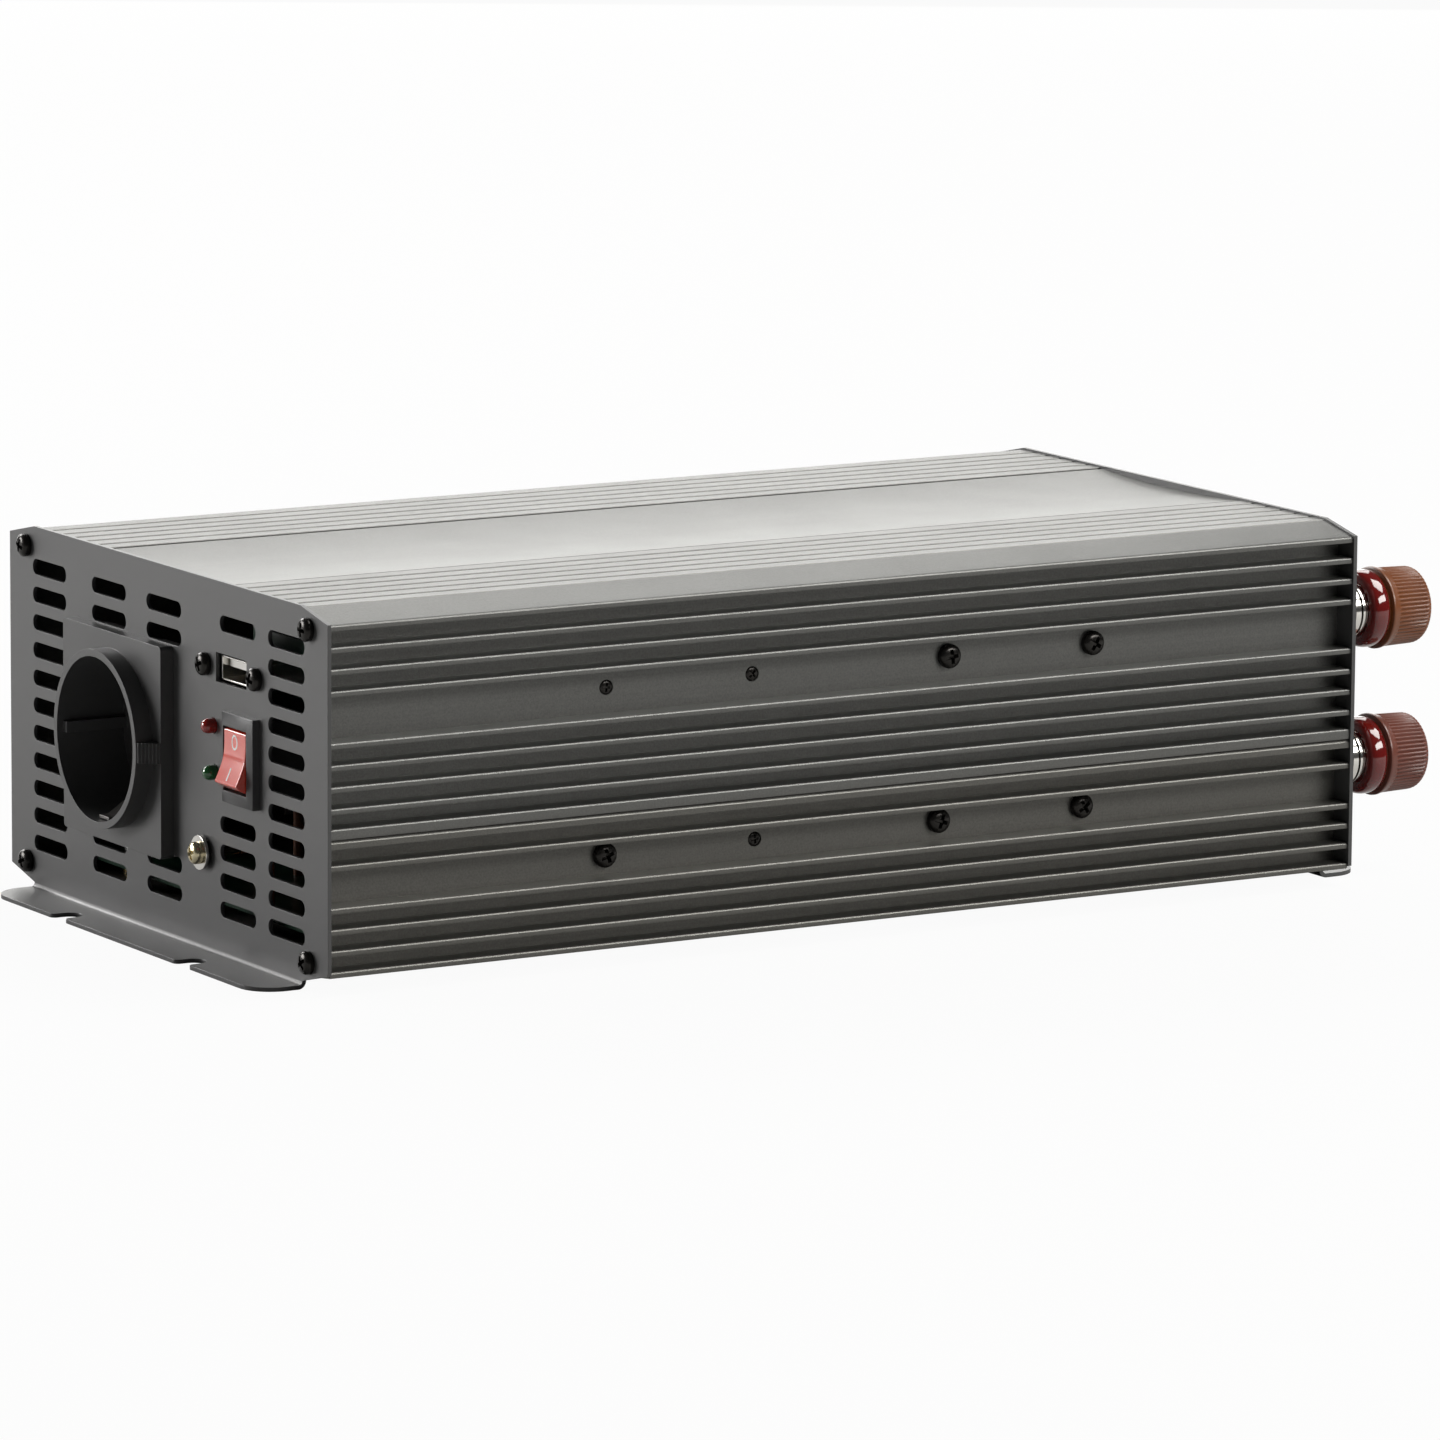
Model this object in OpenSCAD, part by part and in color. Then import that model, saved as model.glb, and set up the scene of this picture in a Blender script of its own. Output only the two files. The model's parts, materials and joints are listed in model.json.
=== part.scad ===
// Power inverter, battery voltage in and mains voltage out, in a two-part ribbed aluminium case.
// X runs along the front panel, the front panel faces -Y and Z is up.
// The base of the mounting flanges is z = 0 and the overall box is centred on x = y = 0.

/* [Case] */
// width of the end panels
case_w = 160; // [130:1:200]
// height from the flange base to the top of the end panels
case_h = 88.2; // [80:0.1:110]
// length from the front panel's face to the rear panel's face
case_len = 280; // [240:1:340]
// end panel sheet thickness
sheet_t = 1.0; // [0.8:0.1:2]
// width of the sloped top corners
top_slope_w = 12.9; // [8:0.1:16]
// drop of the sloped top corners
top_slope_h = 2.8; // [2:0.1:5]
// width of the sloped bottom corners
low_slope_w = 12.1; // [8:0.1:16]
// rise of the sloped bottom corners
low_slope_h = 3.0; // [2:0.1:5]

/* [Side ribs] */
// how far the ribs stand out of the side wall
rib_depth = 6.0; // [3:0.5:8]
// thickness of one rib
rib_t = 1.4; // [1:0.1:2.5]
// spacing from rib to rib
rib_pitch = 5.0; // [4:0.1:7]
// side wall thickness
wall_t = 2.2; // [1.6:0.1:4]
// gap between the two halves of the case
split_gap = 0.1; // [0.05:0.05:0.3]
// height of the joint between the two halves
split_z = 36.0; // [30:0.1:44]

/* [Top ribs] */
// how far from the middle the fine top ribs start
top_rib_from = 30.3; // [24:0.1:40]
// number of fine ribs on each side of the top
top_rib_count = 6; // [2:1:8]
// width of the groove between two fine ribs
top_groove_w = 1.4; // [0.8:0.1:2]

/* [Flanges] */
// how far each mounting flange stands out of its panel
flange_reach = 12; // [8:0.5:20]
// inner bend radius of the flange
bend_r = 1.0; // [0.6:0.1:3]
// outer corner radius of the flange
flange_corner_r = 8; // [2:0.5:10]
// spacing of the two open slots
slot_spacing = 63; // [40:1:90]
// width of an open slot
slot_w = 6; // [4:0.1:8]
// depth of an open slot from the flange's edge
slot_depth = 6; // [4:0.5:9]

/* [Vents] */
// length of a vent slot
vent_w = 17.5; // [8:0.5:18]
// height of a vent slot
vent_h = 3.8; // [2:0.1:5]
// spacing of the rows
vent_pitch = 6.67; // [5:0.1:8]
// height of the top row
vent_top_z = 78.6; // [70:0.1:80]

/* [Mains socket] */
// sideways position of the socket
socket_x = -20.2; // [-40:0.1:0]
// height of the socket
socket_z = 44.7; // [38:0.1:50]
// side of the square socket plate
socket_plate = 50; // [46:0.5:54]
// plate thickness
socket_plate_t = 3.4; // [2:0.1:5]
// outer radius of the raised collar
collar_r = 21.2; // [20.5:0.1:22.5]
// inner radius of the well
well_r = 19.5; // [19:0.1:20]
// how far the collar stands out of the panel
collar_h = 7.9; // [5:0.1:12]
// depth of the well from the collar's front
well_depth = 17.5; // [16:0.5:19]
// radius of the pin holes
pin_hole_r = 2.6; // [2.5:0.05:3]
// spacing of the pin holes
pin_spacing = 19; // [18:0.5:20]

/* [Switch] */
// sideways position of the rocker switch
rocker_x = 39.8; // [30:0.1:45]
// height of the rocker switch
rocker_z = 48.4; // [44:0.1:52]
// angle the rocker turns through
rocker_travel = 24; // [10:1:26]

/* [Battery posts] */
// distance of the two posts from the inner side wall
post_in = 9.3; // [9.2:0.1:20]
// height of the upper post
post_top_z = 64.2; // [55:0.1:66]
// height of the lower post
post_low_z = 28.1; // [26:0.1:34]
// thread radius of a post
post_r = 4; // [3:0.5:5]
// how far a cap stands out of the rear panel
post_reach = 29; // [24:0.5:36]
// cap radius over the ribs
cap_r = 9.6; // [8:0.1:11]
// radius of the cap's smooth collar
cap_collar_r = 10; // [8.5:0.1:12]
// number of fine ribs around a cap
cap_ribs = 56; // [24:2:64]

/* [Fan] */
// sideways position of the fan
fan_x = -32; // [-38:1:-30]
// height of the fan's centre
fan_z = 47; // [42:1:50]
// fan size
fan_size = 60; // [50:10:60]
// number of fan blades
blades = 7; // [5:1:9]

/* [Fits] */
// running clearance on a radius
run_fit = 0.05; // [0.01:0.01:0.1]
// screw clearance on a radius
screw_fit = 0.15; // [0.1:0.05:0.4]

/* [Hidden] */
$fn = 48;
reach_total = case_len + flange_reach + post_reach;
yf = -reach_total / 2 + flange_reach;
yr = yf + case_len;
yi = yf + sheet_t;
yo = yr - sheet_t;
hw = case_w / 2;
bend_z = bend_r + sheet_t;
rib_tip = hw - 0.5;
tip_r = 0.45;
wall_out = rib_tip - rib_depth;
wall_in = wall_out - wall_t;
post_x = wall_in - post_in;
skin_z = case_h - 1.6;
skin_in = skin_z - 2.3;
edge_z = case_h - top_slope_h - 0.3;
slope_x = hw - top_slope_w;
upper_ribs = [for (i = [1:3]) edge_z - i * rib_pitch];
mid_ribs = [58.2, 53.2, 48.2, 43.2];
low_ribs = [30.2, 20.4, 15.5, 10.6];
floor_z = 5.0;
case_low = bend_z + 0.8;
boss = [hw - 9, case_h - 5];
low_boss = [hw - 9, 6.8];
boss_r = 2.4;
tap_r = 1.3;
m3 = 1.45;
m3_hole = m3 + screw_fit;
head_r = 2.75;
head_h = 2.2;
ch_top_z = 64.2;
ch_low_z = 25.2;
top_pan = [168.5, 208.5];
top_flush = [76, 115];
low_pan = [75.5, 166, 206];
low_flush = [116];
low_sites = [75.5, 116, 166, 206];
bar_in = wall_in - 6;
bar_z = 56.2;
bar_h = 16;
board_z = 8;
board_t = 1.6;
deck = board_z + board_t;
usb = [33.5, 68.1];
usb_screw_dx = 12.5;
led_red_at = [24.7, 54.2];
led_green_at = [25.3, 43.4];
led_r = 1.8;
earth_at = [20, 23.8];
vent_cols = [[-59, [0:10]], [-28, [0, 1, 9, 10]], [0, [0, 1, 9, 10]], [36.7, [0, 7, 8, 9, 10]], [60.3, [0:10]]];
rear_cols = [12, 34.5];
bezel = [15, 21];
rocker_half = 7.2;
face_v = 2.8;
post_z = [post_top_z, post_low_z];
ring_r = 6.7;
ring_from = 10;
cap_from = 11.5;
fan_y = yo - 25;
fan_hole = fan_size / 2 - 5;
duct_r = fan_size / 2 - 1.5;
board_hw = wall_in - 3.3;

// ---- helpers ----

module bar_y(y0, y1) {
  translate([0, y1, 0])
    rotate([90, 0, 0])
      linear_extrude(y1 - y0) children();
}

module bar_x(x0, x1) {
  translate([x0, 0, 0])
    rotate([90, 0, 90])
      linear_extrude(x1 - x0) children();
}

module rod_y(r, y0, y1) {
  translate([0, y0, 0])
    rotate([-90, 0, 0])
      cylinder(r = r, h = y1 - y0);
}

module rod_x(r, x0, x1) {
  translate([x0, 0, 0])
    rotate([0, 90, 0])
      cylinder(r = r, h = x1 - x0);
}

module hex_y(r, y0, y1) {
  translate([0, y0, 0])
    rotate([-90, 0, 0])
      cylinder(r = r, h = y1 - y0, $fn = 6);
}

module box(x0, x1, y0, y1, z0, z1) {
  translate([x0, y0, z0])
    cube([x1 - x0, y1 - y0, z1 - z0]);
}

module at(x, z) {
  translate([x, 0, z]) children();
}

module both() {
  children();
  mirror([1, 0]) children();
}

module both_sides() {
  children();
  mirror([1, 0, 0]) children();
}

module rounded(w, h, r) {
  square([w - 2 * r, h], center = true);
  square([w, h - 2 * r], center = true);
  for (x = [-1, 1], y = [-1, 1])
    translate([x * (w / 2 - r), y * (h / 2 - r)]) circle(r);
}

module slot(w, h) {
  square([w - h, h], center = true);
  for (x = [-1, 1])
    translate([x * (w - h) / 2, 0]) circle(h / 2);
}

// A wire that leaves along +Y, bends down and ends at z1.
module drop_wire(x, z, y0, y1, r, bend, z1) {
  at(x, z) rod_y(r, y0, y1);
  translate([x, y1, z - bend])
    rotate([90, 0, 90])
      rotate_extrude(angle = 90)
        translate([bend, 0]) circle(r);
  translate([x, y1 + bend, z1])
    cylinder(r = r, h = z - bend - z1);
}

// ---- case ----

function full(half) = concat(half, [for (i = [len(half) - 1:-1:0]) [-half[i][0], half[i][1]]]);

// The rounded outer end of a rib, from its top face to its underside.
function tip(z, t) = concat(
  [for (a = [90:-30:0]) [rib_tip - tip_r + tip_r * cos(a), z - tip_r + tip_r * sin(a)]],
  [for (a = [0:-45:-90]) [rib_tip - 0.25 + 0.25 * cos(a), z - t + 0.25 + 0.25 * sin(a)]]
);

function ribs_at(tops) = [
  for (z = tops)
    each concat([[wall_out, z]], tip(z, rib_t), [[wall_out, z - rib_t]])
];

top_pitch = (slope_x - top_rib_from) / top_rib_count;

top_z = case_h - 0.45;

upper_half = concat(
  [for (i = [1:5]) let (x = top_rib_from * i / 5) [x, skin_z + 0.95 * pow(x / top_rib_from, 2)]],
  [
    for (i = [0:top_rib_count - 1])
      let (x = top_rib_from + i * top_pitch, r = x + top_groove_w)
        each [
          [x, top_z - 0.6], [r, top_z - 0.6], [r, top_z - 0.15], [r + 0.15, top_z],
          [x + top_pitch - 0.15, top_z], [x + top_pitch, top_z - 0.15]
        ]
  ],
  [[slope_x + 1, top_z - 0.2]],
  [[rib_tip - 0.9, edge_z + 0.2]],
  tip(edge_z, rib_t),
  [[wall_out, edge_z - rib_t]],
  ribs_at(upper_ribs),
  ribs_at(mid_ribs),
  [[wall_out, split_z + 2.5]],
  tip(split_z + 2.5, 2.5),
  [[wall_in, split_z], [wall_in, skin_in]]
);

lower_half = concat(
  [[wall_in, floor_z], [wall_in, split_z - split_gap]],
  [[rib_tip - 0.7, split_z - split_gap], [rib_tip, split_z - split_gap - 0.7]],
  [[rib_tip, split_z - 2.1], [wall_out, split_z - 2.1]],
  ribs_at(low_ribs),
  [[wall_out, case_low + 2.9]],
  tip(case_low + 2.9, 1.4),
  [[slope_x, case_low]]
);

// A full-length boss in each corner of a shell, for the end panels' screws.
module shell(half, corner) {
  difference() {
    union() {
      bar_y(yi, yo) polygon(full(half));
      for (x = [-1, 1])
        at(x * corner[0], corner[1]) rod_y(boss_r, yi, yo);
    }
    for (x = [-1, 1])
      at(x * corner[0], corner[1]) rod_y(tap_r, yi - 1, yo + 1);
    children();
  }
}

module wall_holes(z, pan, flush) {
  for (y = pan)
    translate([0, yf + y, z])
      rod_x(m3_hole + 0.1, -hw, hw);
  for (y = flush)
    translate([0, yf + y, z]) {
      rod_x(m3 + run_fit, -hw, hw);
      rod_x(1.8, wall_out - 0.8, hw);
      rod_x(1.8, -hw, -wall_out + 0.8);
    }
}

module upper_shell() color([0.72, 0.72, 0.71]) {
  shell(upper_half, boss)
    wall_holes(ch_top_z, top_pan, top_flush);
}

module lower_shell() color([0.68, 0.67, 0.65]) {
  shell(lower_half, low_boss)
    wall_holes(ch_low_z, low_pan, low_flush);
  both_sides() {
    box(wall_in - 2.4, wall_in - 0.2, yi + 20, yo - 25, split_z - 5, split_z + 4);
    box(wall_in - 2.4, wall_in + 0.2, yi + 20, yo - 25, split_z - 5, split_z - 0.5);
  }
}

module panel_outline() {
  polygon([
    [-hw, bend_z + low_slope_h], [-hw + low_slope_w, bend_z], [hw - low_slope_w, bend_z],
    [hw, bend_z + low_slope_h], [hw, case_h - top_slope_h], [slope_x, case_h],
    [-slope_x, case_h], [-hw, case_h - top_slope_h]
  ]);
}

module flange_outline() {
  edge = hw - low_slope_w;
  difference() {
    union() {
      translate([-edge, yf - flange_reach + flange_corner_r])
        square([2 * edge, flange_reach - flange_corner_r - bend_r]);
      translate([-edge + flange_corner_r, yf - flange_reach])
        square([2 * (edge - flange_corner_r), flange_reach - bend_r]);
      for (x = [-1, 1])
        translate([x * (edge - flange_corner_r), yf - flange_reach + flange_corner_r])
          circle(flange_corner_r);
    }
    translate([-hw, yf - bend_r])
      square([2 * hw, flange_corner_r * 2]);
    for (x = [-1, 1])
      translate([x * slot_spacing / 2, yf - flange_reach]) {
        translate([0, slot_depth - slot_w / 2]) circle(slot_w / 2);
        translate([-slot_w / 2, -1]) square([slot_w, slot_depth - slot_w / 2 + 1]);
        difference() {
          translate([-slot_w / 2 - 1.5, -1]) square([slot_w + 3, 2.5]);
          for (s = [-1, 1])
            translate([s * (slot_w / 2 + 1.5), 1.5]) circle(1.5);
        }
      }
  }
}

module bent_panel() {
  bar_y(yf, yi)
    difference() {
      panel_outline();
      for (x = [-1, 1], b = [boss, low_boss])
        translate([x * b[0], b[1]]) circle(m3_hole);
      children();
    }
  bar_x(-hw + low_slope_w, hw - low_slope_w)
    translate([yf - bend_r, bend_z])
      intersection() {
        difference() {
          circle(bend_z);
          circle(bend_r);
        }
        translate([0, -bend_z]) square(bend_z);
      }
  linear_extrude(sheet_t) flange_outline();
}

module front_panel() color([0.33, 0.33, 0.34]) {
  bent_panel() {
    for (c = vent_cols, i = c[1])
      translate([c[0], vent_top_z - i * vent_pitch]) slot(vent_w, vent_h);
    translate([socket_x, socket_z]) circle(collar_r + 0.4);
    translate(usb) square([15, 6.8], center = true);
    for (x = [-1, 1])
      translate([usb[0] + x * usb_screw_dx, usb[1]]) circle(m3_hole);
    translate(led_red_at) circle(led_r + 0.1);
    translate(led_green_at) circle(led_r + 0.1);
    translate([rocker_x, rocker_z]) square([13.2, 19.4], center = true);
    translate(earth_at) circle(m3_hole);
  }
}

module rear_panel() color([0.33, 0.33, 0.34]) {
  translate([0, yf + yr, 0])
    mirror([0, 1, 0])
      bent_panel() {
        for (x = rear_cols, i = [0:10])
          translate([x, vent_top_z - i * vent_pitch]) slot(vent_w, vent_h);
        translate([fan_x, fan_z]) circle(duct_r - 0.5);
        for (x = [-1, 1], z = [-1, 1])
          translate([fan_x + x * fan_hole, fan_z + z * fan_hole]) circle(2.2);
        for (z = post_z)
          translate([post_x, z]) circle(6.5);
      }
}

// A pan-head screw whose head sits at y0 and points to -Y.
module pan_screw(y0, len, r = m3) {
  rod_y(head_r, y0 - head_h, y0);
  rod_y(r, y0 - 0.1, y0 + len);
}

module corner_screws() {
  for (x = [-1, 1], b = [boss, low_boss])
    at(x * b[0], b[1]) pan_screw(yf, 10, tap_r - run_fit);
}

module front_screws() color([0.08, 0.08, 0.08]) {
  corner_screws();
}

module rear_screws() color([0.08, 0.08, 0.08]) {
  translate([0, yf + yr, 0])
    mirror([0, 1, 0]) corner_screws();
}

module side_screws_pan() color([0.07, 0.07, 0.07]) {
  both_sides() {
    for (y = top_pan)
      translate([0, yf + y, ch_top_z]) {
        rod_x(2.9, wall_out, wall_out + 2.2);
        rod_x(m3, wall_in - 5, wall_out + 0.1);
      }
    for (y = low_pan)
      translate([0, yf + y, ch_low_z]) {
        rod_x(2.9, wall_out, wall_out + 2.2);
        rod_x(m3, wall_in - 4.5, wall_out + 0.1);
      }
  }
}

module side_screws_flush() color([0.06, 0.06, 0.06]) {
  both_sides() {
    for (y = top_flush)
      translate([0, yf + y, ch_top_z]) {
        rod_x(1.75, wall_out - 0.8, wall_out + 0.2);
        rod_x(m3, wall_in - 5, wall_out - 0.7);
      }
    for (y = low_flush)
      translate([0, yf + y, ch_low_z]) {
        rod_x(1.75, wall_out - 0.8, wall_out + 0.2);
        rod_x(m3, wall_in - 4.5, wall_out - 0.7);
      }
  }
}

// ---- power devices on the side walls ----

module side_nuts() color([0.7, 0.7, 0.68]) {
  both_sides()
    for (y = low_sites)
      translate([wall_in - 4.0, yf + y, ch_low_z])
        rotate([0, 90, 0])
          difference() {
            cylinder(r = 3.1, h = 2.4, $fn = 6);
            translate([0, 0, -1]) cylinder(r = m3 + run_fit, h = 5);
          }
}

module insulator_pads() color([0.75, 0.7, 0.62]) {
  both_sides()
    for (y = low_sites)
      difference() {
        box(wall_in - 0.3, wall_in, yf + y - 6, yf + y + 6, 11.6, 29.4);
        translate([0, yf + y, ch_low_z]) rod_x(1.9, wall_in - 1, wall_in + 1);
      }
}

module transistor_bodies() color([0.1, 0.1, 0.11]) {
  both_sides()
    for (y = low_sites)
      box(wall_in - 4.8, wall_in - 1.6, yf + y - 5, yf + y + 5, 12.6, 21.8);
  for (y = [85, 125, 158, 198])
    box(-bar_in + 1.3, -bar_in + 4.5, yf + y - 5, yf + y + 5, bar_z + 0.6, bar_z + 9.8);
}

module transistor_tabs() color([0.72, 0.72, 0.72]) {
  both_sides()
    for (y = low_sites) {
      difference() {
        box(wall_in - 1.6, wall_in - 0.3, yf + y - 5, yf + y + 5, 12.6, 28.4);
        translate([0, yf + y, ch_low_z]) rod_x(1.8, wall_in - 3, wall_in + 1);
      }
      for (d = [-2.54, 0, 2.54])
        box(wall_in - 4.1, wall_in - 3.5, yf + y + d - 0.4, yf + y + d + 0.4, deck, 12.6);
    }
  for (y = [85, 125, 158, 198]) {
    box(-bar_in, -bar_in + 1.3, yf + y - 5, yf + y + 5, bar_z + 0.6, bar_z + 15.4);
    for (d = [-2.54, 0, 2.54])
      box(-bar_in + 2.7, -bar_in + 3.3, yf + y + d - 0.4, yf + y + d + 0.4, 52, bar_z + 0.6);
  }
}

module heat_bars() color([0.78, 0.78, 0.77]) {
  both_sides()
    difference() {
      box(bar_in, wall_in, yf + 66, yf + 219, bar_z, bar_z + bar_h);
      for (y = concat(top_pan, top_flush))
        translate([0, yf + y, ch_top_z])
          rod_x(m3 + run_fit, bar_in - 1, wall_in + 1);
    }
}

module rectifier_board() color([0.1, 0.3, 0.18]) {
  box(-bar_in + 2.2, -bar_in + 3.8, yf + 72, yf + 211, deck, 52);
}

module control_board() color([0.1, 0.3, 0.18]) {
  difference() {
    box(57, 58.6, yf + 80, yf + 200, 40, 76);
    for (y = [93, 187])
      translate([0, yf + y, ch_top_z]) rod_x(m3 - 0.4, 56, 60);
  }
}

module control_chips() color([0.09, 0.09, 0.1]) {
  for (c = [[100, 48, 18, 8], [130, 60, 12, 12], [155, 48, 10, 6], [170, 62, 14, 8], [112, 66, 8, 6]])
    box(55, 57, yf + c[0], yf + c[0] + c[2], c[1], c[1] + c[3]);
}

// ---- mains socket ----

// A stepped ramp from the collar's front down to the plate's edge.
module side_tab() {
  steps = 6;
  x0 = collar_r + 0.2;
  dx = (socket_plate / 2 - x0) / steps;
  dy = (collar_h - socket_plate_t - 0.6) / steps;
  polygon([
    [collar_r - 1, yf - 1], [collar_r - 1, yf - collar_h + 0.3], [x0, yf - collar_h + 0.3],
    for (i = [0:steps - 1])
      each [
        [x0 + i * dx, yf - collar_h + 0.3 + i * dy],
        [x0 + (i + 0.6) * dx, yf - collar_h + 0.3 + i * dy],
        [x0 + (i + 0.6) * dx, yf - collar_h + 0.3 + (i + 1) * dy]
      ],
    [socket_plate / 2, yf - socket_plate_t - 0.3], [socket_plate / 2, yf - 1]
  ]);
}

module socket_frame() color([0.09, 0.09, 0.095]) {
  at(socket_x, socket_z)
    difference() {
      union() {
        bar_y(yf - socket_plate_t, yf) rounded(socket_plate, socket_plate, 1);
        rod_y(collar_r, yf - collar_h, yf + 14);
        translate([0, 0, -2.4])
          linear_extrude(4.8) side_tab();
        box(-17, 17, yf + 13.5, yf + 32, -9, 9);
      }
      difference() {
        rod_y(well_r, yf - collar_h - 1, yf - collar_h + well_depth);
        for (x = [-1, 1])
          translate([x * well_r, 0, 0])
            box(-1.9, 1.9, yf - collar_h + 1.6, yf + 20, -1.3, 1.3);
      }
      for (x = [-1, 1])
        at(x * pin_spacing / 2, 0) {
          rod_y(pin_hole_r, yf, yf + 15);
          rod_y(3.6, yf + 14, yf + 33);
        }
    }
}

module socket_clamp() color([0.12, 0.12, 0.12]) {
  at(socket_x, socket_z)
    bar_y(yi, yi + 2.5)
      difference() {
        rounded(socket_plate, socket_plate, 2);
        circle(collar_r + 0.1);
      }
}

module socket_contacts() color([0.8, 0.65, 0.35]) {
  at(socket_x, socket_z)
    for (x = [-1, 1])
      at(x * pin_spacing / 2, 0)
        difference() {
          rod_y(3.5, yf + 14, yf + 30.5);
          rod_y(pin_hole_r, yf + 13, yf + 28.5);
        }
}

module earth_clips() color([0.8, 0.78, 0.72]) {
  back = yf - collar_h + well_depth;
  at(socket_x, socket_z)
    for (m = [0, 1])
      mirror([0, 0, m])
        bar_x(-2.5, 2.5)
          polygon([
            [back, 19.2], [back, 18.4], [yf + 6, 18.4], [yf + 1.6, 15.7], [yf + 0.8, 15.7],
            [yf - 3.2, 18.4], [yf - 5.5, 18.4], [yf - 5.5, 19.2]
          ]);
}

module ac_leads() color([0.35, 0.2, 0.12]) {
  for (x = [-1, 1])
    drop_wire(socket_x + x * pin_spacing / 2, socket_z, yf + 30.5, yf + 36, 1.2, 5, deck);
  drop_wire(earth_at[0], earth_at[1], yf + 9, yf + 12, 1.2, 5, deck);
}

// ---- front panel fittings ----

module usb_shell() color([0.82, 0.82, 0.8]) {
  at(usb[0], usb[1])
    difference() {
      box(-6.55, 6.55, yi, yf + 15, -2.85, 2.85);
      box(-6.15, 6.15, yi - 1, yf + 14.6, -2.45, 2.45);
    }
}

module usb_tongue() color([0.9, 0.88, 0.8]) {
  at(usb[0], usb[1])
    box(-5.6, 5.6, yf + 2.7, yf + 14.6, 0.2, 2.0);
}

module usb_contacts() color([0.85, 0.68, 0.3]) {
  at(usb[0], usb[1])
    for (x = [-3.5, -1, 1, 3.5])
      box(x - 0.5, x + 0.5, yf + 3.4, yf + 14.6, 0, 0.2);
}

module front_board() color([0.1, 0.3, 0.18]) {
  bar_y(yf + 15, yf + 16.6)
    difference() {
      union() {
        translate([16, 61]) square([35, 14]);
        translate([16, 38]) square([15.5, 24]);
      }
      for (x = [-1, 1])
        translate([usb[0] + x * usb_screw_dx, usb[1]]) circle(m3_hole);
    }
}

module usb_spacers() color([0.7, 0.7, 0.68]) {
  for (x = [-1, 1])
    at(usb[0] + x * usb_screw_dx, usb[1]) {
      difference() {
        rod_y(3, yi, yf + 15);
        rod_y(m3_hole, yi - 1, yf + 16);
      }
      difference() {
        hex_y(3.1, yf + 16.6, yf + 19);
        rod_y(m3 + run_fit, yf + 16, yf + 20);
      }
    }
}

module usb_screws() color([0.08, 0.08, 0.08]) {
  for (x = [-1, 1])
    at(usb[0] + x * usb_screw_dx, usb[1]) pan_screw(yf, 20);
}

module led_lens() {
  rod_y(led_r, yf - 1.3, yi + 0.1);
  rod_y(led_r + 0.4, yi, yi + 1.2);
  intersection() {
    translate([0, yf - 1.3, 0]) sphere(led_r);
    rod_y(led_r + 1, yf - 6, yf - 1.3);
  }
}

module led_red() color([0.75, 0.08, 0.05]) {
  at(led_red_at[0], led_red_at[1]) led_lens();
}

module led_green() color([0.1, 0.5, 0.15]) {
  at(led_green_at[0], led_green_at[1]) led_lens();
}

module led_leads() color([0.75, 0.75, 0.75]) {
  for (p = [led_red_at, led_green_at], x = [-0.7, 0.7])
    at(p[0] + x, p[1]) rod_y(0.3, yi + 1.2, yf + 15);
}

module rocker_housing() color([0.14, 0.14, 0.145]) {
  at(rocker_x, rocker_z)
    difference() {
      union() {
        hull() {
          box(-bezel[0] / 2, bezel[0] / 2, yf - 1.8, yf, -bezel[1] / 2, bezel[1] / 2);
          box(-6, 6, yf - 2.5, yf, -8.4, 8.4);
        }
        box(-6.5, 6.5, yf - 0.5, yf + 15, -9.5, 9.5);
      }
      box(-5.6, 5.6, yf - 3, yf + 12, -rocker_half - 0.3, rocker_half + 0.3);
      translate([0, yf, 0]) rod_x(1 + run_fit, -6.25, 6.25);
    }
}

// How far the rocker's hollowed face stands out at height z.
function rocker_face(z) = face_v + 0.27 * (sqrt(z * z + 9) - 3);

module rocker() color([0.8, 0.12, 0.08]) {
  translate([rocker_x, yf, rocker_z])
    rotate([-rocker_travel / 2, 0, 0]) {
      intersection() {
        bar_x(-5.3, 5.3)
          polygon(concat(
            [[4, rocker_half], [4, -rocker_half]],
            [for (i = [-9:9]) let (z = i * rocker_half / 9) [-rocker_face(z), z]]
          ));
        rod_x(rocker_half, -6, 6);
      }
      rod_x(1, -6.2, 6.2);
    }
}

module rocker_tabs() color([0.8, 0.8, 0.78]) {
  for (z = [-6, 0, 6])
    at(rocker_x, rocker_z + z) box(-3.15, 3.15, yf + 15, yf + 23, -0.4, 0.4);
}

module ground_screw() color([0.75, 0.7, 0.5]) {
  at(earth_at[0], earth_at[1]) {
    rod_y(2.6, yf - 3.8, yf - 1.6);
    rod_y(m3, yf - 1.7, yf + 9);
  }
}

module ground_washer() color([0.85, 0.85, 0.84]) {
  at(earth_at[0], earth_at[1])
    difference() {
      rod_y(4.05, yf - 1.6, yf - 0.8);
      rod_y(m3_hole, yf - 3, yf);
    }
}

module ground_nuts() color([0.45, 0.44, 0.4]) {
  at(earth_at[0], earth_at[1]) {
    difference() {
      hex_y(3.3, yf - 0.8, yf);
      rod_y(m3_hole, yf - 3, yf + 1);
    }
    difference() {
      hex_y(3.1, yi, yi + 2.4);
      rod_y(m3_hole, yf, yf + 6);
    }
  }
}

// ---- boards and their parts ----

stand_x = board_hw - 13;
stand_sites = [[-stand_x, -128], [stand_x, -128], [-stand_x, -6], [stand_x, -6], [-stand_x, 118], [22, 118]];

module main_board() color([0.08, 0.28, 0.16]) {
  difference() {
    box(-board_hw, board_hw, yf + 12, yr - 7.5, board_z, deck);
    for (p = stand_sites)
      translate([p[0], p[1], 0]) cylinder(r = m3_hole, h = 20);
  }
}

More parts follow.
